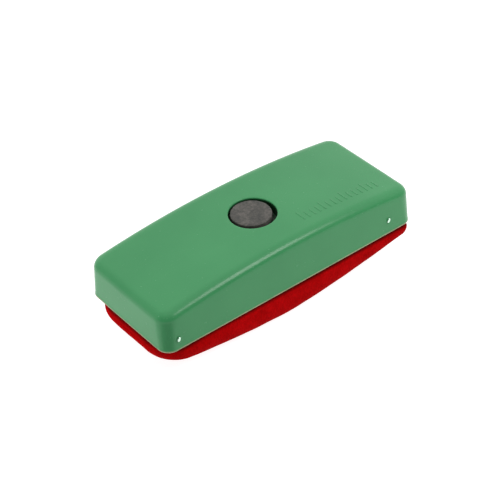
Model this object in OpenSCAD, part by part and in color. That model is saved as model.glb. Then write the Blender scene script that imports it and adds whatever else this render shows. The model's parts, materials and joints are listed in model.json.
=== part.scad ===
// Chalkboard eraser: a moulded plastic cover over a felt-wrapped foam pad on a carrier board.
// A ferrite disc glued into a socket in the top lets the eraser hang on a steel board.
// Frame: origin at the middle of the resting face, X along the eraser, Z up. Units are mm.

/* [Shell] */
// Overall length of the moulded cover
shell_length = 150; // [140:1:170]
// Overall width of the moulded cover
shell_width = 61; // [56:1:72]
// Height of the cover's wall at its two ends
end_height = 19.6; // [19:0.2:26]
// How much higher the middle of the top is than its ends
camber = 5.8; // [4:0.2:9]
// Radius of the upright corners
corner_radius = 7.5; // [6:0.5:10]
// Radius of the rounding round the top
edge_radius = 5; // [4:0.5:5.5]
// Wall thickness of the moulding
wall = 2.4; // [1.8:0.1:2.8]

/* [Magnet] */
// Diameter of the ferrite disc
magnet_diameter = 20; // [15:1:22]
// Thickness of the ferrite disc
magnet_thickness = 5; // [3:0.5:5]
// Gap all round the disc in its socket
socket_gap = 1.7; // [1.5:0.1:2.5]
// How far the disc's face lies below the middle of the top
magnet_recess = 0.3; // [0.2:0.1:1.5]
// Thickness of the glue under the disc
glue_thickness = 0.4; // [0.2:0.1:0.8]
// How far the disc sits off the socket's middle along X
magnet_offset_x = -0.4; // [-1.2:0.1:1.2]
// How far the disc sits off the socket's middle along Y
magnet_offset_y = 0.7; // [-1.2:0.1:1.2]

/* [Pad] */
// Height of the pad below the cover's rim at mid length
pad_depth = 19; // [15:0.5:22]
// Height of the pad below the cover's rim at its ends
pad_end_depth = 10.6; // [8:0.2:11]
// Radius along the pad's lower edges
pad_edge_radius = 7.5; // [6:0.5:8]
// Thickness of the felt
felt_thickness = 2.4; // [1.8:0.1:3]
// Thickness of the carrier board
board_thickness = 6; // [5:0.5:7]
// Height of the board's underside above the cover's rim
board_height = 4.2; // [3.5:0.1:4.5]

/* [Fasteners] */
// Diameter of the side pins
pin_diameter = 1.4; // [1:0.1:1.8]
// Length of the side pins under the head
pin_length = 11; // [9:0.5:14]
// Place along the cover of the front pin near the left end
left_pin_place = -67.4; // [-68:0.2:-62]
// Height of that pin above the cover's rim
left_pin_height = 6.3; // [5.5:0.1:8.5]
// Place along the cover of the front pin near the right end
right_pin_place = 58.6; // [54:0.2:68]
// Height of that pin above the cover's rim
right_pin_height = 8; // [5.5:0.1:8.5]
// Distance of the end staples from the middle of the board's short edge
end_staple_place = 10; // [8:1:14]

/* [Hidden] */
$fn = 96;
// Clearance between neighbouring pieces
gap = 0.3;
// Overlap that keeps cuts clean, and how far an arch reaches past what it shapes
cut = 1;
reach = 20;
arch_facets = 180;
post_rise = 0.1;
// The rocker's lowest 0.3 mm is worn flat, so the pad rests on a face
worn_flat = 0.3;
rim_z = pad_depth;
top_z = rim_z + end_height + camber;
// Radii of the arched top and of the rocker-shaped underside
arch_radius = (pow(shell_length / 2, 2) + pow(camber, 2)) / (2 * camber);
rocker_sag = pad_depth + worn_flat - pad_end_depth;
rocker_radius = (pow(shell_length / 2, 2) + pow(rocker_sag, 2)) / (2 * rocker_sag);
// Cavity of the cover
cavity_length = shell_length - 2 * wall;
cavity_width = shell_width - 2 * wall;
cavity_corner = corner_radius - wall;
// Felt squeezed between the board and the cover's wall
neck_felt = 0.75 * felt_thickness;
neck_length = cavity_length - 2 * gap;
neck_width = cavity_width - 2 * gap;
neck_corner = cavity_corner - gap;
board_fit = 0.1;
board_length = neck_length - 2 * (neck_felt + board_fit);
board_width = neck_width - 2 * (neck_felt + board_fit);
board_corner = neck_corner - neck_felt - board_fit;
board_z = rim_z + board_height;
board_top = board_z + board_thickness;
// The felt is turned in over the board's upper face
fold_width = 11;
fold_top = board_top + neck_felt;
// Pad below the rim, set in a little from the cover's outside
pad_gap = 0.4;
pad_set_in = 0.5;
pad_length = shell_length - 2 * pad_set_in;
pad_width = shell_width - 2 * pad_set_in;
pad_corner = 8;
pad_top = rim_z - pad_gap;
// The cushion keeps this far inside the board's edge, and its lower edges are rounded less than the felt's
cushion_margin = 0.5;
cushion_rounding = 3;
// Magnet socket
bore_diameter = magnet_diameter + 2 * socket_gap;
socket_wall = 1.8;
socket_floor = 2;
socket_chamfer = 0.5;
glue_margin = 1.5;
magnet_top = top_z - magnet_recess;
glue_top = magnet_top - magnet_thickness;
socket_bottom = glue_top - glue_thickness;
glue_diameter = magnet_diameter - 2 * glue_margin;
// Ribs inside the cover
rib = 1.6;
rib_places = [26, 48];
rib_margin = 1;
// Side pins: their places along the front wall, each with its height; the back wall has the same two
pin_places = [[left_pin_place, left_pin_height], [right_pin_place, right_pin_height]];
pin_head = 1.9;
pin_head_height = 0.4;
pin_fit = 0.1;
// Staples: along the board's long edges they sit between the ribs
long_staples = [12, 37, 60];
staple_width = 10;
staple_wire = 0.8;
staple_leg = 5;
staple_inset = fold_width / 2;

// A flat rectangle with round corners
module round_rect(length, width, radius) {
  square([length - 2 * radius, width], center = true);
  square([length, width - 2 * radius], center = true);
  for (x = [-1, 1], y = [-1, 1])
    translate([x * (length / 2 - radius), y * (width / 2 - radius)])
      circle(r = radius);
}

// A block with upright round corners, from one height to another
module block(length, width, radius, from, to) {
  translate([0, 0, from])
    linear_extrude(height = to - from)
      round_rect(length, width, radius);
}

// A wide arch about the Y axis with rounded long edges; its crown lies at z = 0
module arch(radius, width, edge, depth) {
  translate([0, 0, -radius])
    rotate([90, 0, 0])
      rotate_extrude($fn = arch_facets) {
        translate([radius - depth, -width / 2])
          square([depth - edge, width]);
        translate([radius - depth, edge - width / 2])
          square([depth, width - 2 * edge]);
        for (s = [-1, 1])
          translate([radius - edge, s * (width / 2 - edge)])
            circle(r = edge);
      }
}

// Side view of an arched block: its ends are rounded into the arch, whose crown lies at z = 0
module end_rounding(radius, length, edge, width, depth) {
  center_x = length / 2 - edge;
  center_z = sqrt(pow(radius - edge, 2) - pow(center_x, 2)) - radius;
  touch_x = center_x * radius / (radius - edge);
  rotate([90, 0, 0])
    linear_extrude(height = width, center = true) {
      translate([-length / 2, -depth])
        square([length, depth + center_z]);
      translate([-touch_x, -depth])
        square([2 * touch_x, depth + cut]);
      for (s = [-1, 1])
        translate([s * center_x, center_z])
          circle(r = edge);
    }
}

// An upright corner post with a rounded top edge
module corner_post(radius, edge, from, to) {
  translate([0, 0, from])
    rotate_extrude() {
      square([radius, to - from - edge]);
      square([radius - edge, to - from]);
      translate([radius - edge, to - from - edge])
        intersection() {
          circle(r = edge);
          square(edge + cut);
        }
    }
}

// Height of an arch below its crown at a given place along X
function arch_drop(radius, x) = radius - sqrt(pow(radius, 2) - pow(x, 2));

// Arched block, rounded along its long edges, at its ends and over its corners
module arched_block(length, width, radius, corner, edge, from, to) {
  post_x = length / 2 - corner;
  post_y = width / 2 - corner;
  post_top = to - arch_drop(radius, post_x) + post_rise;
  intersection() {
    translate([0, 0, to])
      arch(radius, width, edge, to - from + reach);
    translate([0, 0, to])
      end_rounding(radius, length, edge, width + 2 * cut, to - from + cut);
    union() {
      translate([-length / 2, -post_y, from])
        cube([length, 2 * post_y, to - from + cut]);
      translate([-post_x, -width / 2, from])
        cube([2 * post_x, width, to - from + cut]);
      for (x = [-1, 1], y = [-1, 1])
        translate([x * post_x, y * post_y, 0])
          corner_post(corner, edge, from, post_top);
    }
  }
}

// The moulded cover with its magnet socket and its stiffening ribs
module shell() {
  color([0.33, 0.62, 0.42])
    difference() {
      union() {
        difference() {
          arched_block(shell_length, shell_width, arch_radius, corner_radius, edge_radius, rim_z, top_z);
          shell_cavity();
        }
        intersection() {
          shell_ribs();
          shell_cavity();
        }
        translate([0, 0, socket_bottom - socket_floor])
          cylinder(d = bore_diameter + 2 * socket_wall, h = top_z - wall / 2 - socket_bottom + socket_floor);
      }
      translate([0, 0, socket_bottom])
        cylinder(d = bore_diameter, h = top_z - socket_bottom + cut);
      translate([0, 0, top_z - arch_drop(arch_radius, bore_diameter / 2) - socket_chamfer])
        cylinder(d1 = bore_diameter, d2 = bore_diameter + 4 * socket_chamfer, h = 2 * socket_chamfer);
      pin_sites()
        rotate([90, 0, 0])
          cylinder(d = pin_diameter + pin_fit, h = 2 * (wall + cut), center = true);
    }
}

module shell_cavity() {
  intersection() {
    translate([0, 0, top_z - wall])
      arch(arch_radius - wall, cavity_width, edge_radius - wall, top_z - rim_z + reach);
    block(cavity_length, cavity_width, cavity_corner, rim_z - cut, top_z);
  }
}

// Ribs across the cover and along its middle; they bear on the board and clear the turned-in felt
module shell_ribs() {
  height = top_z - fold_top - gap;
  bearing_width = board_width - 2 * (fold_width + rib_margin);
  bearing_length = board_length / 2 - fold_width - rib_margin;
  for (s = [-1, 1]) {
    for (x = rib_places) {
      translate([s * x - rib / 2, -shell_width / 2, fold_top + gap])
        cube([rib, shell_width, height]);
      translate([s * x - rib / 2, -bearing_width / 2, board_top])
        cube([rib, bearing_width, height]);
    }
    translate([s > 0 ? bore_diameter / 2 : -shell_length / 2, -rib / 2, fold_top + gap])
      cube([(shell_length - bore_diameter) / 2, rib, height]);
    translate([s > 0 ? rib_places[0] : -bearing_length, -rib / 2, board_top])
      cube([bearing_length - rib_places[0], rib, height]);
  }
}

// Where the side pins go through the wall, with Z across the wall
module pin_sites() {
  for (turn = [0, 180], place = pin_places)
    rotate([0, 0, turn])
      translate([place[0], -shell_width / 2, rim_z + place[1]])
        children();
}

// The ferrite disc
module magnet() {
  color([0.37, 0.36, 0.33])
    translate([magnet_offset_x, magnet_offset_y, glue_top])
      cylinder(d = magnet_diameter, h = magnet_thickness);
}

// The glue spread under the disc
module magnet_adhesive() {
  color([0.85, 0.8, 0.6])
    translate([magnet_offset_x, magnet_offset_y, socket_bottom])
      cylinder(d = glue_diameter, h = glue_thickness);
}

// The board that closes the cover and carries the pad
module carrier_board() {
  color([0.66, 0.52, 0.36])
    difference() {
      block(board_length, board_width, board_corner, board_z, board_top);
      pin_sites()
        pin_hole();
      staple_sites()
        staple_holes();
    }
}

module pin_hole() {
  rotate([-90, 0, 0])
    cylinder(d = pin_diameter + pin_fit, h = pin_length + cut);
}

// The cushion between the board and the felt
module foam_core() {
  inset = felt_thickness + gap;
  color([0.9, 0.86, 0.7])
    pad_block(inset, board_z);
}

// Pad-shaped solid set in from the pad's outside, up to a given height
module pad_block(inset, to) {
  low = inset - worn_flat;
  edge = pad_edge_radius - min(inset, cushion_rounding);
  cushion_length = board_length - 2 * cushion_margin;
  cushion_width = board_width - 2 * cushion_margin;
  intersection() {
    translate([0, 0, low])
      mirror([0, 0, 1])
        arch(rocker_radius - inset, pad_width - 2 * inset, edge, pad_depth + 2 * reach);
    block(
      min(pad_length - 2 * inset, inset > 0 ? cushion_length : pad_length),
      min(pad_width - 2 * inset, inset > 0 ? cushion_width : pad_width),
      inset > 0 ? board_corner : pad_corner, max(low, 0), to
    );
    translate([0, 0, low])
      mirror([0, 0, 1])
        end_rounding(
          rocker_radius - inset, pad_length - 2 * inset, edge,
          pad_width + 2 * cut, pad_depth + 2 * reach
        );
  }
}

// The felt: stretched round the cushion and the board's edge, and turned in over the board
module felt_cover() {
  color([0.78, 0.12, 0.14])
    difference() {
      union() {
        pad_block(0, pad_top);
        block(neck_length, neck_width, neck_corner, pad_top - cut, fold_top);
      }
      pad_block(felt_thickness, board_z);
      block(
        board_length + 2 * board_fit, board_width + 2 * board_fit, board_corner + board_fit,
        board_z - cut, board_top
      );
      block(
        board_length - 2 * fold_width, board_width - 2 * fold_width, board_corner,
        board_top - cut, fold_top + cut
      );
      pin_sites()
        pin_hole();
      staple_sites()
        staple_holes();
    }
}

// The pins that hold the board in the cover
module side_pins() {
  color([0.72, 0.8, 0.72])
    pin_sites() {
      rotate([90, 0, 0])
        cylinder(d = pin_head, h = pin_head_height);
      rotate([-90, 0, 0])
        cylinder(d = pin_diameter, h = pin_length);
    }
}

// Where the staples sit on the turned-in felt, with X along the staple
module staple_sites() {
  for (side = [-1, 1], end = [-1, 1]) {
    for (x = long_staples)
      translate([end * x, side * (board_width / 2 - staple_inset), fold_top])
        children();
    translate([end * (board_length / 2 - staple_inset), side * end_staple_place, fold_top])
      rotate([0, 0, 90])
        children();
  }
}

module staple_legs(size) {
  for (s = [-1, 1])
    translate([s * (staple_width - staple_wire) / 2, 0, -staple_leg / 2])
      cube([size, size, staple_leg], center = true);
}

module staple_holes() {
  staple_legs(staple_wire + pin_fit);
}

// The staples that hold the turned-in felt to the board
module staples() {
  color([0.75, 0.76, 0.78])
    staple_sites() {
      staple_legs(staple_wire);
      translate([-staple_width / 2, -staple_wire / 2, 0])
        cube([staple_width, staple_wire, staple_wire]);
    }
}

shell();
magnet();
magnet_adhesive();
carrier_board();
foam_core();
felt_cover();
side_pins();
staples();
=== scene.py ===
import json
import math

import bpy
import numpy as np
from mathutils import Matrix, Vector, noise

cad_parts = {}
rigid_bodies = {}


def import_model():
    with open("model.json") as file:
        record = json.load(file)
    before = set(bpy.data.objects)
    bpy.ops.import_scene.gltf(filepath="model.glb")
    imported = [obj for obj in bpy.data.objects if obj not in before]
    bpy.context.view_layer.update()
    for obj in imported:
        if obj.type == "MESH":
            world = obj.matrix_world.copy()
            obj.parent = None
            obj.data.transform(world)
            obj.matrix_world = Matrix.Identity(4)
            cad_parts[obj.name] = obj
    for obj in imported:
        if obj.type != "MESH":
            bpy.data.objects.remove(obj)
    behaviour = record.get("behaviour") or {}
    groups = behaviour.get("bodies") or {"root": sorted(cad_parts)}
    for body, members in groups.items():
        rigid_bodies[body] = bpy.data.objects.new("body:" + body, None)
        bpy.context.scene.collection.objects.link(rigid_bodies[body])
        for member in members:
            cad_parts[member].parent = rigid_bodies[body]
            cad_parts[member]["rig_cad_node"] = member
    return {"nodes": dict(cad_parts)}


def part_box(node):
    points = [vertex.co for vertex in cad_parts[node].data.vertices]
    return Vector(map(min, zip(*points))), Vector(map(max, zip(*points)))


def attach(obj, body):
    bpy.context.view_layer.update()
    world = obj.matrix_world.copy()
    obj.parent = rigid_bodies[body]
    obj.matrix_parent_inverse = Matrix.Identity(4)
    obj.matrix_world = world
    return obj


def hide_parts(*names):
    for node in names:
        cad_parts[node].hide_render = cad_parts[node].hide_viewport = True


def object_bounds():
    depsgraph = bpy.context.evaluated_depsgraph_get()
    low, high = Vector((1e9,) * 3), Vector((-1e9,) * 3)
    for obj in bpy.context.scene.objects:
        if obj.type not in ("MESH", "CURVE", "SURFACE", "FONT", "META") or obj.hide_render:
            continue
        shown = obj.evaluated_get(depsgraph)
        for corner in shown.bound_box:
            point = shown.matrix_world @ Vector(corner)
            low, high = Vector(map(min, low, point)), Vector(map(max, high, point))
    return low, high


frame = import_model()
cad_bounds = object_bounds()

MM = 0.001

# ---------------------------------------------------------------- places from the frame
shell_low, shell_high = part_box("shell")
magnet_low, magnet_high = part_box("magnet")
glue_low, glue_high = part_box("magnet_adhesive")
felt_low, felt_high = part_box("felt_cover")
board_low, board_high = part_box("carrier_board")

RIM_Z = shell_low.z
TOP_Z = shell_high.z
HALF_LENGTH = shell_high.x
HALF_WIDTH = shell_high.y

# ---------------------------------------------------------------- shape of the cover
# How much lower the arched top is over the ends than in the middle
CAMBER = 5.8 * MM
# How far each wall bows out in its middle
SIDE_BOW = 0.12 * MM
END_BOW = 0.1 * MM
# How far the walls lean in from the rim to the rounding
DRAFT = 0.4 * MM
# Corner radii seen from above, at the top and at the rim
CORNER = 7.5 * MM
RIM_CORNER = 6 * MM
# The rounding round the top: its width and its drop along the sides, and both of them at the ends
LONG_ROUNDING = 5.3 * MM
LONG_DROP = 4.1 * MM
END_ROUNDING = 4.2 * MM
WALL = 2.4 * MM
# The bevel between the ceiling and the inner wall
CEILING_BEVEL = 2 * MM
CEILING_BEVEL_DROP = 1.44 * MM
# The small lip moulded round the rim
LIP = 0.12 * MM
LIP_HEIGHT = 0.8 * MM
# How high above the rim's underside the inner wall ends
RIM_INSIDE_HEIGHT = 0.4 * MM
# The rim's section: how far in from the wall's outside, and how high above the rim's underside
RIM_INSIDE = ((WALL - 0.15 * MM, 0.1 * MM), (WALL - 0.5 * MM, 0.0))
RIM_OUTSIDE = (
    (0.35 * MM, 0.0),
    (0.1 * MM - LIP, 0.08 * MM),
    (-LIP, 0.3 * MM),
    (-LIP, LIP_HEIGHT - 0.15 * MM),
    (-0.3 * LIP, LIP_HEIGHT),
    (0.02 * MM, LIP_HEIGHT + 0.25 * MM),
)
# The magnet's socket, a cup that hangs from the ceiling
BORE_RADIUS = 11.7 * MM
BORE_ROUNDING = 0.5 * MM
BORE_FLOOR_CORNER = 0.4 * MM
CUP_WALL = 1.8 * MM
CUP_FLOOR = 2 * MM

# ---------------------------------------------------------------- ribs inside the cover
RIB = 1.6 * MM
# How far the ribs across the cover are from its middle
RIB_PLACES = (26 * MM, 48 * MM)
# How far the ribs go into the ceiling and into the cup's wall
RIB_SUNK = 0.4 * MM
RIB_IN_CUP = 0.5 * MM
# The bevel at the upper ends of the ribs across
RIB_BEVEL = 2 * MM
# Gaps over the turned-in felt, over the board, and beside the felt's edge
RIB_OVER_FELT = 0.3 * MM
RIB_OVER_BOARD = 0.02 * MM
RIB_BESIDE_FELT = 1 * MM
# How far apart the two rings of an upright step are
RIB_STEP = 0.01 * MM

# ---------------------------------------------------------------- ticks in place of a moulded mark
TICKS = 15
LONG_TICK_EVERY = 4
TICKS_FROM = 15.5 * MM
TICK_PITCH = 3.25 * MM
TICKS_Y = -20 * MM
TICK_LONG = 7 * MM
TICK_SHORT = 5 * MM
TICK_WIDTH = 1 * MM
# The flat left at a tick's tip, so that no two points of its outline coincide
TICK_FLAT = 0.001 * MM
# A tick's section: how far in from its outline, and how high above the cover's top
TICK_SECTION = ((0.0, -0.5 * MM), (0.0, 0.02 * MM), (0.1 * MM, 0.11 * MM), (0.28 * MM, 0.16 * MM))

# ---------------------------------------------------------------- shape of the pad
PAD_SHIFT = -1.2 * MM
PAD_HALF_LENGTH = 75.1 * MM
PAD_HALF_WIDTH = 30.1 * MM
# Corner radii from the front right, going round anticlockwise seen from above
PAD_CORNERS = (4 * MM, 12 * MM, 18 * MM, 15 * MM)
PAD_TOP_CORNER = 6.5 * MM
# How much a corner's radius shrinks for each millimetre that the outline is set in, and the least radius
CORNER_SHRINK = 0.8
LEAST_CORNER = 1 * MM
# How deep the pad is at its ends, and the power of the curve from its middle to them
PAD_LEFT_DEPTH = 10.5 * MM
PAD_RIGHT_DEPTH = 10.2 * MM
PAD_SAG_POWER = 1.58
PAD_ROUNDING = 7.2 * MM
# The least height of the straight wall above the rounding
PAD_LEAST_WALL = 0.3 * MM
# The radius of the last ring in the middle of the underside
PAD_MIDDLE = 2 * MM

# Thickness of the felt outside the cover, and where it is squeezed inside
FELT = 2.2 * MM
FELT_NECK = 1.6 * MM
# The felt inside the cover: its gap to the wall, its corner radius, its bend over the board and its fold
NECK_GAP = 0.4 * MM
NECK_CORNER = 4.8 * MM
FOLD_BEND = 1.4 * MM
FOLD_WIDTH = 11 * MM
# How high above the rim the neck ends below, and where the felt is squeezed to its full extent
NECK_FOOT = 1.2 * MM
NECK_FADE = 2 * MM
# The groove where the felt is drawn in under the rim: its width and depth, and the felt's gap to the rim
RIM_GROOVE = 2 * MM
GROOVE_DEPTH = 2.6 * MM
RIM_GAP = 0.35 * MM
# How far the pad swells from its starting shape, and the most that any point may move
SWELL = 0.5 * MM
SWELL_CAP = 0.9 * MM
CLOTH_FRAMES = 20
SWELL_SMOOTHINGS = 4
# Rings whose points are this close or closer swell by their mean alone, and wider ones point by point
CLOSE_POINTS = 0.3 * MM
WIDE_POINTS = 0.9 * MM
# The felt's unevenness, as lumps in a metre and their height, and how it fades in under the rim
LUMPS = ((90, 0.16 * MM), (300, 0.06 * MM))
LUMPS_START = 0.5 * MM
LUMPS_FADE = 3 * MM

# The cushion's gaps to the felt, to the felt inside the cover and to the board
FOAM_GAP = 0.3 * MM
FOAM_NECK_GAP = 0.7 * MM
FOAM_BOARD_GAP = 0.05 * MM
# How far above the rim the cushion's neck ends, and how far below the rim its wall starts
FOAM_FOOT = 1 * MM

# ---------------------------------------------------------------- small hard pieces
MAGNET_EDGE = 0.45 * MM
MAGNET_BEVEL = 0.13 * MM
CHIP_DEPTH = 0.9 * MM
GLUE_BULGE = 0.05 * MM
GLUE_WOBBLE = 0.35 * MM
PIN_HEAD = 0.4 * MM
PIN_SHANK = 0.7 * MM

# Points round every ring: along a long side, along an end and round a corner
LONG_STEPS, END_STEPS, CORNER_STEPS = 64, 28, 14


# ================================================================ mesh helpers
def smoothstep(t):
    return t * t * (3 - 2 * t)


def quarter_turn(steps):
    """The angles through a quarter turn, without the first and with the last."""
    return [math.pi / 2 * k / steps for k in range(1, steps + 1)]


def outline(half_length, half_width, corner, side_bow=0.0, end_bow=0.0):
    """Points round a rounded rectangle whose sides bow outward, and the outward normals there."""
    radii = corner if isinstance(corner, tuple) else (corner,) * 4
    points = []
    corners = ((1, -1, -90), (1, 1, 0), (-1, 1, 90), (-1, -1, 180))
    for k, (side_x, side_y, start) in enumerate(corners):
        radius = radii[k]
        center = np.array([side_x * (half_length - radius), side_y * (half_width - radius)])
        for i in range(CORNER_STEPS):
            angle = math.radians(start + 90 * i / CORNER_STEPS)
            points.append(center + radius * np.array([math.cos(angle), math.sin(angle)]))
        turn = math.radians(start + 90)
        direction = np.array([math.cos(turn), math.sin(turn)])
        here = center + radius * direction
        next_x, next_y, _ = corners[(k + 1) % 4]
        next_radius = radii[(k + 1) % 4]
        there = np.array([next_x * (half_length - next_radius), next_y * (half_width - next_radius)])
        there = there + next_radius * direction
        steps = END_STEPS if k % 2 == 0 else LONG_STEPS
        for i in range(steps):
            points.append(here + (there - here) * i / steps)
    points = np.array(points)
    x, y = points[:, 0], points[:, 1]
    bowed_x = x + np.sign(x) * end_bow * (1 - (y / half_width) ** 2) * np.abs(x) / half_length
    bowed_y = y + np.sign(y) * side_bow * (1 - (x / half_length) ** 2) * np.abs(y) / half_width
    points = np.stack([bowed_x, bowed_y], axis=1)
    along = np.roll(points, -1, axis=0) - np.roll(points, 1, axis=0)
    normals = np.stack([along[:, 1], -along[:, 0]], axis=1)
    return points, normals / np.linalg.norm(normals, axis=1, keepdims=True)


def unit_circle(ring):
    """Points round a circle of radius 1, spread as the points round the ring are."""
    steps = np.linalg.norm(np.roll(ring, -1, axis=0) - ring, axis=1)
    share = np.concatenate([[0], np.cumsum(steps)[:-1]]) / steps.sum()
    angles = math.atan2(ring[0][1], ring[0][0]) + 2 * math.pi * share
    return np.stack([np.cos(angles), np.sin(angles)], axis=1)


def with_z(points, z):
    """Points in plan given a height, one for all or one each."""
    return np.column_stack([points, np.broadcast_to(z, len(points))])


def between(ring_a, ring_b, steps, ease=None):
    """Rings from one to the next, without the first and with the last."""
    made = []
    for k in range(1, steps + 1):
        t = k / steps
        t = ease(t) if ease else t
        made.append(ring_a * (1 - t) + ring_b * t)
    return made


def mesh_object(name, vertices, faces):
    mesh = bpy.data.meshes.new(name)
    mesh.from_pydata([tuple(v) for v in vertices], [], [tuple(f) for f in faces])
    mesh.validate()
    mesh.shade_smooth()
    mesh.update()
    made = bpy.data.objects.new(name, mesh)
    bpy.context.scene.collection.objects.link(made)
    return made


def loft(name, rings):
    """A closed surface through rings of equal point count; the first and last close on their middles."""
    count = len(rings[0])
    faces = []
    for k in range(len(rings) - 1):
        for i in range(count):
            j = (i + 1) % count
            faces.append((k * count + i, k * count + j, (k + 1) * count + j, (k + 1) * count + i))
    first_middle = len(rings) * count
    last_middle = first_middle + 1
    last_ring = first_middle - count
    faces += [((i + 1) % count, i, first_middle) for i in range(count)]
    faces += [(last_ring + i, last_ring + (i + 1) % count, last_middle) for i in range(count)]
    middles = [rings[0].mean(axis=0), rings[-1].mean(axis=0)]
    return mesh_object(name, np.concatenate([*rings, middles]), faces)


def joined(name, objects):
    """One object from several, as separate closed surfaces."""
    vertices, faces = [], []
    for single in objects:
        mesh = single.data
        base = len(vertices)
        vertices += [tuple(v.co) for v in mesh.vertices]
        faces += [tuple(base + i for i in face.vertices) for face in mesh.polygons]
        bpy.data.objects.remove(single)
        bpy.data.meshes.remove(mesh)
    return mesh_object(name, vertices, faces)


def islands(node):
    """The boxes of the separate solids of a CAD node, as (low, high) pairs."""
    mesh = frame["nodes"][node].data
    parent = list(range(len(mesh.vertices)))

    def root(i):
        while parent[i] != i:
            parent[i] = parent[parent[i]]
            i = parent[i]
        return i

    for edge in mesh.edges:
        a, b = (root(v) for v in edge.vertices)
        parent[a] = b
    places = {}
    groups = {}
    for v in mesh.vertices:
        # vertices split along sharp edges share one place
        key = tuple(round(c, 6) for c in v.co)
        if key in places:
            parent[root(v.index)] = root(places[key])
        places[key] = v.index
    for v in mesh.vertices:
        groups.setdefault(root(v.index), []).append(v.co)
    boxes = []
    for points in groups.values():
        points = np.array(points)
        boxes.append((Vector(points.min(0)), Vector(points.max(0))))
    return sorted(boxes, key=lambda box: (round(box[0].y, 4), round(box[0].x, 4)))


# ================================================================ the cover
def arch_z(x):
    """Height of the arched top over a place along the eraser."""
    return TOP_Z - CAMBER * (x / HALF_LENGTH) ** 2


def cover():
    """The cover as one closed surface: out from the cup, down inside, round the rim and over the top."""
    half_length = HALF_LENGTH - END_BOW - LIP
    half_width = HALF_WIDTH - SIDE_BOW - LIP
    outer, normals = outline(half_length, half_width, CORNER, SIDE_BOW, END_BOW)
    low_outer, low_normals = outline(half_length, half_width, RIM_CORNER, SIDE_BOW, END_BOW)
    endness = normals[:, 0] ** 2
    rounding = LONG_ROUNDING + (END_ROUNDING - LONG_ROUNDING) * endness
    drop = LONG_DROP + (END_ROUNDING - LONG_DROP) * endness
    circle = unit_circle(outer)

    def inset(amount):
        return outer - normals * np.broadcast_to(amount, len(outer))[:, None]

    def rim_inset(amount):
        # the corners are a little sharper at the rim than at the top
        return low_outer - low_normals * amount

    # Underside of the socket's cup, then up its outside to the ceiling
    socket_floor = glue_low.z
    cup = circle * (BORE_RADIUS + CUP_WALL)
    rings = [with_z(cup * share, socket_floor - CUP_FLOOR) for share in (0.3, 0.7, 1.0)]
    rings.append(with_z(cup, arch_z(cup[:, 0]) - WALL))
    # Ceiling out to its bevel, and down the inner wall
    bevel_top = inset(WALL + CEILING_BEVEL)
    for ring in between(rings[-1], with_z(bevel_top, 0), 8, smoothstep):
        ring[:, 2] = arch_z(ring[:, 0]) - WALL
        rings.append(ring)
    inner = inset(WALL)
    rings.append(with_z(inner, arch_z(inner[:, 0]) - WALL - CEILING_BEVEL_DROP))
    rings += between(rings[-1], with_z(inner, RIM_Z + RIM_INSIDE_HEIGHT), 5)
    # Rounded rim with its lip
    rings += [with_z(inset(inward), RIM_Z + up) for inward, up in RIM_INSIDE]
    rings += [with_z(rim_inset(inward), RIM_Z + up) for inward, up in RIM_OUTSIDE]
    # Drafted wall
    wall_end = inset(DRAFT)
    rings += between(rings[-1], with_z(wall_end, arch_z(wall_end[:, 0]) - drop), 8)
    # Rounding into the arched top
    for angle in quarter_turn(10):
        ring = inset(DRAFT + rounding * (1 - math.cos(angle)))
        rings.append(with_z(ring, arch_z(ring[:, 0]) - drop * (1 - math.sin(angle))))
    # Arched top in to the socket's rounded mouth
    mouth = with_z(circle * (BORE_RADIUS + BORE_ROUNDING), 0)
    for ring in between(rings[-1], mouth, 26):
        ring[:, 2] = arch_z(ring[:, 0])
        rings.append(ring)
    for angle in quarter_turn(5):
        radius = BORE_RADIUS + BORE_ROUNDING * (1 - math.sin(angle))
        z = arch_z(mouth[:, 0]) - BORE_ROUNDING * (1 - math.cos(angle))
        rings.append(with_z(circle * radius, z))
    # Down the bore, round its foot and in over the socket's floor
    rings += between(rings[-1], with_z(circle * BORE_RADIUS, socket_floor + BORE_FLOOR_CORNER), 5)
    arc_middle = 0.3 * BORE_FLOOR_CORNER
    rings.append(with_z(circle * (BORE_RADIUS - arc_middle), socket_floor + arc_middle))
    rings.append(with_z(circle * (BORE_RADIUS - BORE_FLOOR_CORNER), socket_floor))
    rings += [with_z(circle * BORE_RADIUS * share, socket_floor) for share in (0.66, 0.33)]
    return loft("eraser_cover", rings)


def rib_rings(stations):
    """Four-point rings along a rib: each station is a place along it, and its lowest and highest level."""
    half = RIB / 2
    rings = []
    for along, low, high in stations:
        section = ((-half, low), (half, low), (half, high), (-half, high))
        rings.append(np.array([(along, across, z) for across, z in section]))
    return rings


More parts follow.
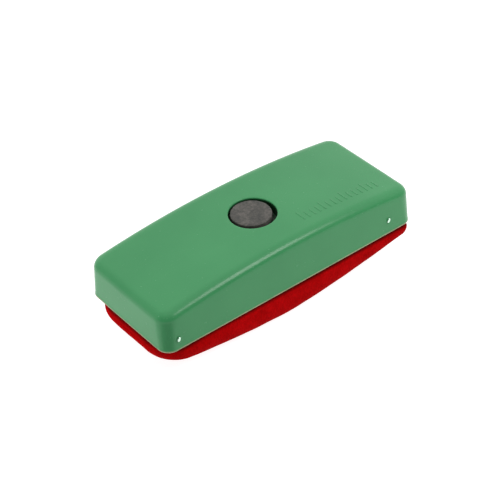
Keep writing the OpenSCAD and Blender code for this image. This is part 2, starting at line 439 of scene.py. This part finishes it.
def inner_ribs():
    """Ribs under the ceiling: they bear on the board in the middle and pass over the turned-in felt."""
    over_felt = felt_high.z + RIB_OVER_FELT
    on_board = board_high.z + RIB_OVER_BOARD
    reach_x = HALF_LENGTH - WALL - DRAFT
    reach_y = HALF_WIDTH - WALL - DRAFT
    bearing_x = board_high.x - FOLD_WIDTH - RIB_BESIDE_FELT
    bearing_y = board_high.y - FOLD_WIDTH - RIB_BESIDE_FELT
    first_place, last_place = RIB_PLACES
    places = [BORE_RADIUS + CUP_WALL - RIB_IN_CUP, first_place - RIB_STEP, first_place]
    places += [(first_place + last_place) / 2, last_place, bearing_x, bearing_x + RIB_STEP, reach_x]
    long_stations = []
    for place in places:
        low = on_board if first_place <= place <= bearing_x else over_felt
        long_stations.append((place, low, arch_z(place) - WALL + RIB_SUNK))
    made = []
    for side in (-1, 1):
        for place in RIB_PLACES:
            top = arch_z(place) - WALL + RIB_SUNK
            stations = [
                (bearing_y, on_board, top),
                (bearing_y + RIB_STEP, over_felt, top),
                (reach_y - RIB_BEVEL, over_felt, top),
                (reach_y, over_felt, top - RIB_BEVEL),
            ]
            stations = [(-along, low, high) for along, low, high in reversed(stations)] + stations
            rings = []
            for ring in rib_rings(stations):
                rings.append(np.column_stack([side * place - ring[:, 1], ring[:, 0], ring[:, 2]]))
            made.append(loft("cross_rib", rings))
        rings = [ring * np.array([side, side, 1]) for ring in rib_rings(long_stations)]
        made.append(loft("long_rib", rings))
    ribs = joined("cover_ribs", made)
    ribs.data.shade_flat()
    return ribs


def raised_marks():
    """A row of plain raised ticks moulded in the top, some of them longer."""
    made = []
    for k in range(TICKS):
        x = TICKS_FROM + TICK_PITCH * k
        half_length = (TICK_SHORT if k % LONG_TICK_EVERY else TICK_LONG) / 2
        y = TICKS_Y + half_length
        rings = []
        for inward, up in TICK_SECTION:
            half_width = TICK_WIDTH / 2 - inward
            ring, _ = outline(half_length - inward, half_width, half_width - TICK_FLAT)
            ring = np.column_stack([x - ring[:, 1], y + ring[:, 0]])
            rings.append(with_z(ring, arch_z(ring[:, 0]) + up))
        made.append(loft("tick", rings))
    return joined("raised_marks", made)


# ================================================================ the pad
def pad_ring(inset):
    """The pad's outline, set in by some amount, with its own radius at each corner."""
    radii = tuple(max(radius - CORNER_SHRINK * inset, LEAST_CORNER) for radius in PAD_CORNERS)
    points, _ = outline(PAD_HALF_LENGTH - inset, PAD_HALF_WIDTH - inset, radii)
    return points + np.array([PAD_SHIFT, 0])


def neck_ring(inset):
    """Outline of the felt where it goes up inside the cover, set in by some amount."""
    half_length = HALF_LENGTH - WALL - NECK_GAP - inset
    half_width = HALF_WIDTH - WALL - NECK_GAP - inset
    return outline(half_length, half_width, max(NECK_CORNER - inset, LEAST_CORNER))[0]


def pad_bottom(x):
    """Height of the rocker-shaped underside over a place along the eraser, before its rounding."""
    end_depth = np.where(x < PAD_SHIFT, PAD_LEFT_DEPTH, PAD_RIGHT_DEPTH)
    end_z = RIM_Z - end_depth
    share = np.minimum(np.abs(x - PAD_SHIFT) / PAD_HALF_LENGTH, 1) ** PAD_SAG_POWER
    return felt_low.z + (end_z - felt_low.z) * share


def felt_skin_rings():
    """Rings over the felt's outside, from its turned-in edge to the middle below, and how many are held."""
    top = felt_high.z
    rings = [with_z(neck_ring(FOLD_WIDTH * share), top) for share in (1, 0.8, 0.6, 0.4, 0.25)]
    for angle in (0.0, *quarter_turn(4)):
        ring = neck_ring(FOLD_BEND * (1 - math.sin(angle)))
        rings.append(with_z(ring, top - FOLD_BEND * (1 - math.cos(angle))))
    rings += between(rings[-1], with_z(neck_ring(0), RIM_Z + NECK_FOOT), 5)
    held = len(rings)
    # Out from under the rim
    radii = tuple(max(radius, PAD_TOP_CORNER) for radius in PAD_CORNERS)
    under_rim, _ = outline(PAD_HALF_LENGTH - RIM_GROOVE, PAD_HALF_WIDTH - RIM_GROOVE, radii)
    under_rim = with_z(under_rim + np.array([PAD_SHIFT, 0]), RIM_Z - RIM_GAP)
    rings += between(rings[-1], under_rim, 2)
    wall_foot = pad_ring(SWELL)
    widest = with_z(wall_foot, RIM_Z - RIM_GAP)
    for angle in quarter_turn(5):
        ring = under_rim + (widest - under_rim) * math.sin(angle)
        ring[:, 2] -= GROOVE_DEPTH * (1 - math.cos(angle))
        rings.append(ring)
    # Down the wall, round into the underside and in to the middle
    foot_z = pad_bottom(wall_foot[:, 0]) + SWELL + PAD_ROUNDING
    foot_z = np.minimum(foot_z, rings[-1][:, 2] - PAD_LEAST_WALL)
    rings += between(rings[-1], with_z(wall_foot, foot_z), 4)
    for angle in quarter_turn(8):
        ring = pad_ring(PAD_ROUNDING * (1 - math.cos(angle)) + SWELL)
        bottom = pad_bottom(ring[:, 0]) + SWELL
        rings.append(with_z(ring, bottom + (foot_z - bottom) * (1 - math.sin(angle))))
    circle = unit_circle(rings[-1][:, :2])
    for ring in between(rings[-1], with_z(circle * PAD_MIDDLE, 0), 22):
        ring[:, 2] = pad_bottom(ring[:, 0]) + SWELL
        rings.append(ring)
    return rings, held


def ring_normals(grid):
    """Outward normals over a grid of rings that runs down the outside."""
    around = np.roll(grid, -1, axis=1) - np.roll(grid, 1, axis=1)
    down = np.gradient(grid, axis=0)
    normals = np.cross(down, around)
    return normals / np.maximum(np.linalg.norm(normals, axis=2, keepdims=True), 1e-12)


def simulated(rings, held):
    """Where the rings' points go when air pressure swells the skin, with its first rings held."""
    count = len(rings[0])
    # the skin runs upward, so that its faces look outward
    skin = loft("pad_simulation", rings[::-1])
    group = skin.vertex_groups.new(name="held")
    first_held = (len(rings) - held) * count
    # the last point closes the simulated skin over the fold
    fold_middle = len(rings) * count + 1
    group.add(list(range(first_held, len(rings) * count)) + [fold_middle], 1.0, "REPLACE")
    cloth = skin.modifiers.new("Cloth", "CLOTH").settings
    cloth.quality = 6
    cloth.mass = 0.2
    cloth.tension_stiffness = 12
    cloth.compression_stiffness = 12
    cloth.bending_stiffness = 0.6
    cloth.use_pressure = True
    cloth.uniform_pressure_force = 4
    cloth.vertex_group_mass = "held"
    cloth.effector_weights.gravity = 0
    scene = bpy.context.scene
    for step in range(1, CLOTH_FRAMES + 1):
        scene.frame_set(step)
    graph = bpy.context.evaluated_depsgraph_get()
    points = [v.co for v in skin.evaluated_get(graph).data.vertices]
    moved = np.array(points[:len(rings) * count]).reshape(len(rings), count, 3)[::-1]
    scene.frame_set(1)
    mesh = skin.data
    bpy.data.objects.remove(skin)
    bpy.data.meshes.remove(mesh)
    return moved


def swollen(rings, held):
    """The skin after cloth simulation: its first rings stay, and the rest swells straight outward."""
    start = np.array(rings)
    normals = ring_normals(start)
    swell = ((simulated(rings, held) - start) * normals).sum(axis=2)
    swell = np.clip(swell, -SWELL_CAP, SWELL_CAP)
    spacing = np.linalg.norm(np.roll(start, -1, axis=1) - start, axis=2).mean(axis=1)
    closeness = np.clip((WIDE_POINTS - spacing) / (WIDE_POINTS - CLOSE_POINTS), 0, 1)[:, None]
    for _ in range(SWELL_SMOOTHINGS):
        swell = (np.roll(swell, 1, axis=1) + 2 * swell + np.roll(swell, -1, axis=1)) / 4
        swell[1:-1] = (swell[:-2] + 2 * swell[1:-1] + swell[2:]) / 4
    swell = swell * (1 - closeness) + swell.mean(axis=1, keepdims=True) * closeness
    swell[:held] = 0
    return start + normals * swell[:, :, None]


def lumps(grid, normals):
    """Slight unevenness of stretched felt, none where it is held in the cover."""
    free = np.clip((RIM_Z - LUMPS_START - grid[:, :, 2]) / LUMPS_FADE, 0, 1)
    height = np.zeros(grid.shape[:2])
    for k, i in np.argwhere(free > 0):
        place = Vector(grid[k, i])
        height[k, i] = sum(noise.noise(place * number) * tall for number, tall in LUMPS)
    moved = grid + normals * (height * free)[:, :, None]
    moved[:, :, 2] = np.maximum(moved[:, :, 2], felt_low.z)
    return moved


def pad_pieces():
    """The felt, one skin with an inside and an outside, and the foam cushion within it."""
    rings, held = felt_skin_rings()
    grid = swollen(rings, held)
    normals = ring_normals(grid)
    outside = lumps(grid, normals)
    in_cover = np.clip((grid[:, :, 2] - RIM_Z) / NECK_FADE, 0, 1)
    thickness = FELT + (FELT_NECK - FELT) * in_cover
    inside = grid - normals * thickness[:, :, None]
    # The felt's inner edge closes the skin at the fold, and both sides close on their middles
    skin = loft("felt_pad", [*outside[::-1], *inside])
    # The foam fills the skin up to the underside of the board
    core = inside - normals * FOAM_GAP
    top = board_low.z - FOAM_BOARD_GAP
    first = int(np.argmax(core[:, :, 2].min(axis=1) < RIM_Z - FOAM_FOOT))
    neck = neck_ring(FELT_NECK + FOAM_NECK_GAP)
    rings = [with_z(neck * share, top) for share in (0.25, 0.6, 1)]
    rings += between(rings[-1], with_z(neck, RIM_Z + FOAM_FOOT), 3)
    rings += list(core[first:])
    cushion = loft("foam_cushion", rings[::-1])
    return skin, cushion


# ================================================================ small hard pieces
def lathe(name, profile, steps, wobble):
    """A closed turned piece: profile is (radius, z) from bottom to top, and wobble is added to a radius."""
    angles = np.linspace(0, 2 * math.pi, steps, endpoint=False)
    circle = np.stack([np.cos(angles), np.sin(angles)], axis=1)
    rings = []
    for radius, z in profile:
        scale = radius + np.array([wobble(angle, radius, z) for angle in angles])
        rings.append(with_z(circle * scale[:, None], z))
    return loft(name, rings)


def disc_magnet():
    center = (magnet_low + magnet_high) / 2
    radius = (magnet_high.x - magnet_low.x) / 2
    half = (magnet_high.z - magnet_low.z) / 2

    def chips(angle, ring_radius, z):
        # small chips out of the brittle edges
        if ring_radius < radius - MAGNET_EDGE:
            return 0.0
        value = noise.noise(Vector((math.cos(angle) * 5, math.sin(angle) * 5, z * 900)))
        return -max(0.0, value - 0.25) * CHIP_DEPTH

    lower = [(radius * share, -half) for share in (0.25, 0.5, 0.75)]
    lower += [(radius - MAGNET_EDGE, -half), (radius - MAGNET_BEVEL, MAGNET_BEVEL - half)]
    lower += [(radius, MAGNET_EDGE - half)]
    upper = [(ring_radius, -z) for ring_radius, z in reversed(lower)]
    made = lathe("disc_magnet", lower + [(radius, 0.0)] + upper, 120, chips)
    made.data.transform(Matrix.Translation(center))
    return made


def glue_disc():
    center = (glue_low + glue_high) / 2
    radius = (glue_high.x - glue_low.x) / 2
    half = (glue_high.z - glue_low.z) / 2

    def squeeze(angle, ring_radius, z):
        # the edge is uneven where the glue was squeezed out
        return GLUE_WOBBLE * (noise.noise(Vector((math.cos(angle) * 2, math.sin(angle) * 2, 3))) - 0.6)

    profile = [(radius / 2, -half), (radius, -half), (radius + GLUE_BULGE, 0.0), (radius, half)]
    profile += [(radius / 2, half)]
    made = lathe("magnet_glue", profile, 90, squeeze)
    made.data.transform(Matrix.Translation(center))
    return made


def side_pins():
    """Brads driven through the wall, their heads hammered flat."""
    made = []
    for low, high in islands("side_pins"):
        front = low.y < 0
        head_radius = (high.x - low.x) / 2
        length = high.y - low.y
        head_base = length - PIN_HEAD

        def drawn_out(angle, ring_radius, z):
            # the head is drawn out along its height and a little to one side
            return ring_radius * (0.42 * math.sin(angle + 0.35) ** 2 - 0.3) if z >= head_base else 0.0

        profile = [
            (0.15 * MM, 0.0),
            (0.8 * PIN_SHANK, 1.2 * MM),
            (PIN_SHANK, 2.0 * MM),
            (PIN_SHANK, head_base - 0.01 * MM),
            (1.15 * head_radius, head_base),
            (1.2 * head_radius, length - 0.28 * MM),
            (head_radius, length - 0.1 * MM),
            (0.5 * head_radius, length),
        ]
        pin = lathe("side_pin", profile, 40, drawn_out)
        turn = Matrix.Rotation(math.radians(90 if front else -90), 4, "X")
        tip_y = high.y if front else low.y
        place = Matrix.Translation(((low.x + high.x) / 2, tip_y, (low.z + high.z) / 2))
        pin.data.transform(place @ turn)
        made.append(pin)
    return joined("side_pin_set", made)


# ================================================================ material helpers
def material(name):
    """A material with its principled shader linked up: the material, its node tree and the shader."""
    made = bpy.data.materials.new(name)
    made.use_nodes = True
    nodes = made.node_tree.nodes
    nodes.clear()
    out = nodes.new("ShaderNodeOutputMaterial")
    shader = nodes.new("ShaderNodeBsdfPrincipled")
    made.node_tree.links.new(shader.outputs[0], out.inputs[0])
    return made, made.node_tree, shader


def coordinates(tree, scale=(1, 1, 1)):
    texture = tree.nodes.new("ShaderNodeTexCoord")
    mapping = tree.nodes.new("ShaderNodeMapping")
    mapping.inputs["Scale"].default_value = scale
    tree.links.new(texture.outputs["Object"], mapping.inputs["Vector"])
    return mapping.outputs["Vector"]


def axes(tree):
    """The X, Y and Z of a place on the object, in metres."""
    texture = tree.nodes.new("ShaderNodeTexCoord")
    split = tree.nodes.new("ShaderNodeSeparateXYZ")
    tree.links.new(texture.outputs["Object"], split.inputs[0])
    return [split.outputs[axis] for axis in "XYZ"]


def noise_node(tree, vector, scale, detail=4, roughness=0.55):
    made = tree.nodes.new("ShaderNodeTexNoise")
    made.inputs["Scale"].default_value = scale
    made.inputs["Detail"].default_value = detail
    made.inputs["Roughness"].default_value = roughness
    tree.links.new(vector, made.inputs["Vector"])
    return made.outputs["Fac"]


def ramp(tree, value, stops):
    """A colour for each value, from stops of (place, colour)."""
    made = tree.nodes.new("ShaderNodeValToRGB")
    elements = made.color_ramp.elements
    while len(elements) < len(stops):
        elements.new(0.5)
    for element, (place, color) in zip(elements, stops):
        element.position = place
        element.color = (*color, 1)
    tree.links.new(value, made.inputs["Fac"])
    return made.outputs["Color"]


def maths(tree, operation, a, b=0.0):
    made = tree.nodes.new("ShaderNodeMath")
    made.operation = operation
    for socket, value in zip(made.inputs, (a, b)):
        if isinstance(value, (int, float)):
            socket.default_value = value
        else:
            tree.links.new(value, socket)
    return made.outputs[0]


def map_range(tree, value, source, target):
    """One range carried over to another in a straight line, and held beyond its ends."""
    made = tree.nodes.new("ShaderNodeMapRange")
    for socket, number in zip(list(made.inputs)[1:5], (*source, *target)):
        socket.default_value = number
    tree.links.new(value, made.inputs[0])
    return made.outputs[0]


def mix_color(tree, factor, a, b, blend="MIX"):
    made = tree.nodes.new("ShaderNodeMix")
    made.data_type = "RGBA"
    made.blend_type = blend
    sockets = [made.inputs[0], made.inputs[6], made.inputs[7]]
    for socket, value in zip(sockets, (factor, a, b)):
        if isinstance(value, (int, float)):
            socket.default_value = value
        elif isinstance(value, tuple):
            socket.default_value = (*value, 1)
        else:
            tree.links.new(value, socket)
    return made.outputs[2]


def bump(tree, shader, height, strength, distance, before=None):
    """Adds fine relief to a shader, on top of the relief before it."""
    made = tree.nodes.new("ShaderNodeBump")
    made.inputs["Strength"].default_value = strength
    made.inputs["Distance"].default_value = distance
    tree.links.new(height, made.inputs["Height"])
    if before is not None:
        tree.links.new(before, made.inputs["Normal"])
    tree.links.new(made.outputs[0], shader.inputs["Normal"])
    return made.outputs[0]


def height_above(tree, z):
    """Distance above a level, in metres."""
    return maths(tree, "SUBTRACT", axes(tree)[2], z)


def paint(piece, made):
    piece.data.materials.clear()
    piece.data.materials.append(made)


# ================================================================ materials
def socket_shade(tree):
    """1 deep in the magnet's socket and 0 at its mouth and everywhere else."""
    x, y, z = axes(tree)
    squares = maths(tree, "ADD", maths(tree, "MULTIPLY", x, x), maths(tree, "MULTIPLY", y, y))
    from_axis = maths(tree, "SQRT", squares)
    inside = map_range(tree, from_axis, (BORE_RADIUS, BORE_RADIUS + BORE_ROUNDING), (1.0, 0.0))
    deep = map_range(tree, z, (TOP_Z - 1.1 * MM, TOP_Z - 0.25 * MM), (1.0, 0.0))
    return maths(tree, "MULTIPLY", inside, deep)


def green_plastic():
    """Satin moulded plastic: slightly cloudy, with a painted highlight along the rim, dust specks, faint sink
    marks and painted shade deep in the magnet's socket.
    """
    made, tree, shader = material("green_plastic")
    vector = coordinates(tree)
    cloudy = noise_node(tree, vector, scale=28, detail=3)
    base = ramp(tree, cloudy, [(0.3, (0.039, 0.212, 0.079)), (0.7, (0.046, 0.232, 0.088))])
    # Painted highlight: a pale warm band along the rim's lip, uneven along its length
    rim = map_range(tree, height_above(tree, RIM_Z), (0.35 * MM, 1.0 * MM), (0.75, 0.0))
    rim_highlight_breakup = noise_node(tree, vector, scale=160, detail=3)
    rim = maths(tree, "MULTIPLY", rim, map_range(tree, rim_highlight_breakup, (0.3, 0.6), (0.5, 1.0)))
    color = mix_color(tree, rim, base, (0.5, 0.36, 0.24))
    # Painted shade: the plastic turns near black deep in the magnet's socket
    shade = maths(tree, "MULTIPLY", socket_shade(tree), 0.85)
    color = mix_color(tree, shade, color, (0.002, 0.01, 0.004))
    specks = noise_node(tree, vector, scale=1100, detail=2, roughness=0.4)
    dust = map_range(tree, specks, (0.74, 0.8), (0.0, 0.5))
    color = mix_color(tree, dust, color, (0.2, 0.42, 0.26))
    tree.links.new(color, shader.inputs["Base Color"])
    scuffs = noise_node(tree, coordinates(tree, (1, 3.5, 1)), scale=300, detail=5, roughness=0.7)
    tree.links.new(map_range(tree, scuffs, (0.3, 0.75), (0.19, 0.29)), shader.inputs["Roughness"])
    shader.inputs["IOR"].default_value = 1.5
    shader.inputs["Specular IOR Level"].default_value = 0.22
    pebble = noise_node(tree, vector, scale=1400, detail=3)
    first = bump(tree, shader, pebble, strength=0.09, distance=0.05 * MM)
    sink = noise_node(tree, vector, scale=45, detail=2)
    bump(tree, shader, sink, strength=0.25, distance=0.25 * MM, before=first)
    return made


def ferrite():
    """Unpolished sintered ferrite: dull, blotched grey-brown with a fine grain."""
    made, tree, shader = material("ferrite")
    vector = coordinates(tree)
    blotches = noise_node(tree, vector, scale=260, detail=5, roughness=0.65)
    grains = noise_node(tree, vector, scale=900, detail=5, roughness=0.7)
    blotches = maths(tree, "MULTIPLY", blotches, 0.6)
    grains = maths(tree, "MULTIPLY", grains, 0.4)
    mottle = maths(tree, "ADD", blotches, grains)
    dark, middling, light = (0.02, 0.021, 0.019), (0.05, 0.048, 0.042), (0.095, 0.086, 0.078)
    color = ramp(tree, mottle, [(0.38, dark), (0.5, middling), (0.62, light)])
    tree.links.new(color, shader.inputs["Base Color"])
    tree.links.new(map_range(tree, mottle, (0.35, 0.65), (0.5, 0.72)), shader.inputs["Roughness"])
    shader.inputs["Specular IOR Level"].default_value = 0.35
    pores = noise_node(tree, vector, scale=2200, detail=4, roughness=0.6)
    bump(tree, shader, pores, strength=0.4, distance=0.08 * MM)
    return made


def red_felt():
    """Pressed felt: short fibres over patchy red, with a painted shadow where it goes up under the rim."""
    made, tree, shader = material("red_felt")
    vector = coordinates(tree)
    fibres = noise_node(tree, coordinates(tree, (1, 1, 0.45)), scale=1300, detail=7, roughness=0.78)
    patches = noise_node(tree, vector, scale=150, detail=5, roughness=0.65)
    base = ramp(tree, patches, [(0.3, (0.36, 0.0008, 0.0012)), (0.7, (0.5, 0.0018, 0.003))])
    tint = ramp(tree, fibres, [(0.32, (0.5, 0.5, 0.5)), (0.68, (1.0, 1.0, 1.0))])
    color = mix_color(tree, 0.75, base, tint, "MULTIPLY")
    # Painted shadow of the rim on the felt just below it, a narrower band on the left end, where the felt
    # stands out most
    below = maths(tree, "MULTIPLY", height_above(tree, RIM_Z), -1.0)
    left_end_shade_shift = map_range(tree, axes(tree)[0], (-76 * MM, -66 * MM), (1.3 * MM, 0.0))
    below = maths(tree, "ADD", below, left_end_shade_shift)
    crease_shadow = map_range(tree, below, (1.6 * MM, 3.6 * MM), (0.9, 0.0))
    color = mix_color(tree, crease_shadow, color, (0.03, 0.002, 0.001))
    tree.links.new(color, shader.inputs["Base Color"])
    shader.inputs["Roughness"].default_value = 1.0
    shader.inputs["Specular IOR Level"].default_value = 0.0
    shader.inputs["Sheen Weight"].default_value = 0.04
    shader.inputs["Sheen Roughness"].default_value = 0.5
    shader.inputs["Sheen Tint"].default_value = (0.9, 0.3, 0.3, 1)
    bump(tree, shader, fibres, strength=0.8, distance=0.3 * MM)
    return made


def polished_steel(name, color, roughness):
    """Bright steel with fine upright scratches."""
    made, tree, shader = material(name)
    scratches = noise_node(tree, coordinates(tree, (1, 1, 6)), scale=900, detail=5, roughness=0.7)
    darker = tuple(0.85 * c for c in color)
    tree.links.new(ramp(tree, scratches, [(0.3, darker), (0.7, color)]), shader.inputs["Base Color"])
    shader.inputs["Metallic"].default_value = 1.0
    rough = map_range(tree, scratches, (0.3, 0.7), (roughness - 0.08, roughness + 0.1))
    tree.links.new(rough, shader.inputs["Roughness"])
    bump(tree, shader, scratches, strength=0.1, distance=0.02 * MM)
    return made


def fibreboard():
    """Raw fibreboard: brown, with fibres that lie along the board."""
    made, tree, shader = material("fibreboard")
    fibres = noise_node(tree, coordinates(tree, (0.4, 1, 2)), scale=900, detail=6, roughness=0.75)
    color = ramp(tree, fibres, [(0.3, (0.25, 0.15, 0.07)), (0.7, (0.45, 0.3, 0.16))])
    tree.links.new(color, shader.inputs["Base Color"])
    shader.inputs["Roughness"].default_value = 0.85
    grain = noise_node(tree, coordinates(tree), scale=1300, detail=5, roughness=0.7)
    bump(tree, shader, grain, strength=0.4, distance=0.15 * MM)
    return made


def foam():
    """Open-cell foam: each cell darker in its middle."""
    made, tree, shader = material("foam")
    cells = tree.nodes.new("ShaderNodeTexVoronoi")
    cells.inputs["Scale"].default_value = 900
    tree.links.new(coordinates(tree), cells.inputs["Vector"])
    distance = cells.outputs["Distance"]
    color = ramp(tree, distance, [(0.1, (0.42, 0.34, 0.16)), (0.6, (0.78, 0.7, 0.42))])
    tree.links.new(color, shader.inputs["Base Color"])
    shader.inputs["Roughness"].default_value = 0.95
    bump(tree, shader, distance, strength=0.8, distance=0.4 * MM)
    return made


def set_glue():
    """Set contact glue: yellowish, cloudy and half glossy."""
    made, tree, shader = material("set_glue")
    cloudy = noise_node(tree, coordinates(tree), scale=350, detail=4, roughness=0.6)
    color = ramp(tree, cloudy, [(0.3, (0.5, 0.38, 0.16)), (0.7, (0.72, 0.6, 0.32))])
    tree.links.new(color, shader.inputs["Base Color"])
    tree.links.new(map_range(tree, cloudy, (0.3, 0.7), (0.25, 0.45)), shader.inputs["Roughness"])
    bump(tree, shader, cloudy, strength=0.5, distance=0.15 * MM)
    return made


# ================================================================ build
plastic = green_plastic()

cover_piece = cover()
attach(cover_piece, "root")
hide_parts("shell")
paint(cover_piece, plastic)

ribs_piece = inner_ribs()
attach(ribs_piece, "root")
paint(ribs_piece, plastic)

marks_piece = raised_marks()
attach(marks_piece, "root")
paint(marks_piece, plastic)

pad_piece, cushion_piece = pad_pieces()
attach(pad_piece, "root")
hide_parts("felt_cover")
paint(pad_piece, red_felt())

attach(cushion_piece, "root")
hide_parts("foam_core")
paint(cushion_piece, foam())

magnet_piece = disc_magnet()
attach(magnet_piece, "root")
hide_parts("magnet")
paint(magnet_piece, ferrite())

glue_piece = glue_disc()
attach(glue_piece, "root")
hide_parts("magnet_adhesive")
paint(glue_piece, set_glue())

pins_piece = side_pins()
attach(pins_piece, "root")
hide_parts("side_pins")
paint(pins_piece, polished_steel("pin_steel", (0.62, 0.86, 0.7), 0.3))

board_piece = frame["nodes"]["carrier_board"]
paint(board_piece, fibreboard())

staples_piece = frame["nodes"]["staples"]
paint(staples_piece, polished_steel("staple_steel", (0.6, 0.6, 0.62), 0.35))

# ================================================================ stage, light and camera
FLOOR_HALF = 3.0
# The grey card: its radius, how far out from the cover's corner it is both ways, and its height
CARD_RADIUS = 36 * MM
CARD_OUT = 32 * MM
CARD_HEIGHT = 1 * MM
CARD_POINTS = 48
# The sky's bright side, the cosines from that side between which it brightens, and its strengths there
SKY_BRIGHT_SIDE = (0.42, 0.58, 0.7)
SKY_SPREAD = (-0.15, 0.8)
SKY_STRENGTH = (0.01, 1.3)


def floor():
    """A plain pale floor at the object's lowest level."""
    corners = [(-1, -1), (1, -1), (1, 1), (-1, 1)]
    corners = [(x * FLOOR_HALF, y * FLOOR_HALF, cad_bounds[0].z) for x, y in corners]
    made = mesh_object("floor", corners, [(0, 1, 2, 3)])
    paper, _, shader = material("pale_floor")
    shader.inputs["Base Color"].default_value = (0.35, 0.35, 0.35, 1)
    shader.inputs["Roughness"].default_value = 0.9
    shader.inputs["Specular IOR Level"].default_value = 0.1
    shader.inputs["Emission Color"].default_value = (1, 1, 1, 1)
    shader.inputs["Emission Strength"].default_value = 0.9
    made.data.materials.append(paper)


def dark_card():
    """A grey card near the left front corner, hidden from the camera: it dims the floor's reflection there."""
    place = (shell_low.x - CARD_OUT, shell_low.y - CARD_OUT, cad_bounds[0].z + CARD_HEIGHT)
    edge = []
    for k in range(CARD_POINTS):
        angle = 2 * math.pi * k / CARD_POINTS
        edge.append(Vector(place) + Vector((math.cos(angle), math.sin(angle), 0)) * CARD_RADIUS)
    made = mesh_object("dark_card", edge, [tuple(range(CARD_POINTS))])
    grey, _, shader = material("grey_card")
    shader.inputs["Base Color"].default_value = (0.45, 0.45, 0.45, 1)
    shader.inputs["Roughness"].default_value = 1.0
    shader.inputs["Specular IOR Level"].default_value = 0.0
    made.data.materials.append(grey)
    made.visible_camera = False
    made.visible_shadow = False


def soft_light(name, direction, distance, size, watts):
    """A round soft light, aimed at the middle of the cover's rim from some direction and distance."""
    lamp = bpy.data.lights.new(name, "AREA")
    lamp.shape = "DISK"
    lamp.size = size
    lamp.energy = watts
    made = bpy.data.objects.new(name, lamp)
    away = Vector(direction).normalized()
    made.location = Vector((0, 0, RIM_Z)) + away * distance
    made.rotation_mode = "QUATERNION"
    made.rotation_quaternion = away.to_track_quat("Z", "Y")
    bpy.context.scene.collection.objects.link(made)
    return made


def backdrop_sky(world):
    """Dim on the near side and brightest high on the far side, fixed to the object's frame."""
    tree = world.node_tree
    backdrop = tree.nodes["Background"]
    backdrop.inputs["Color"].default_value = (1, 1, 1, 1)
    texture = tree.nodes.new("ShaderNodeTexCoord")
    dot = tree.nodes.new("ShaderNodeVectorMath")
    dot.operation = "DOT_PRODUCT"
    dot.inputs[1].default_value = Vector(SKY_BRIGHT_SIDE).normalized()
    tree.links.new(texture.outputs["Generated"], dot.inputs[0])
    strength = map_range(tree, dot.outputs["Value"], SKY_SPREAD, SKY_STRENGTH)
    tree.links.new(strength, backdrop.inputs["Strength"])


def studio():
    """The sky, a soft light from the left and one from in front for the near ridge."""
    scene = bpy.context.scene
    scene.view_settings.view_transform = "Standard"
    world = bpy.data.worlds.new("studio")
    world.use_nodes = True
    scene.world = world
    backdrop_sky(world)
    left_light = soft_light("left_light", direction=(-1, 0.55, 0.22), distance=1.1, size=0.7, watts=6.8)
    # its reflection would draw a bright line along the end's ridge
    left_light.visible_glossy = False
    soft_light("edge_light", direction=(0.2, -0.318, 0.466), distance=0.6, size=0.3, watts=2)


def camera():
    """The camera, by its azimuth, elevation and roll about the middle of the cover's rim."""
    azimuth, elevation, roll = (math.radians(a) for a in (-36.51, 38.75, -3.3))
    distance = 771.68 * MM
    aim_right = 2.35 * MM
    aim_up = -2.28 * MM
    back = Vector((
        math.sin(azimuth) * math.cos(elevation),
        -math.cos(azimuth) * math.cos(elevation),
        math.sin(elevation),
    ))
    level = Vector((math.cos(azimuth), math.sin(azimuth), 0))
    upright = back.cross(level)
    right = level * math.cos(roll) + upright * math.sin(roll)
    up = upright * math.cos(roll) - level * math.sin(roll)
    lens = bpy.data.cameras.new("camera")
    lens.sensor_width = 36
    lens.lens = 115.99
    lens.clip_start = 0.05
    lens.clip_end = 20
    made = bpy.data.objects.new("camera", lens)
    place = back * distance - right * aim_right - up * aim_up + Vector((0, 0, RIM_Z))
    turn = Matrix((right, up, back)).transposed().to_4x4()
    made.matrix_world = Matrix.Translation(place) @ turn
    bpy.context.scene.collection.objects.link(made)
    bpy.context.scene.camera = made


floor()
dark_card()
studio()
camera()
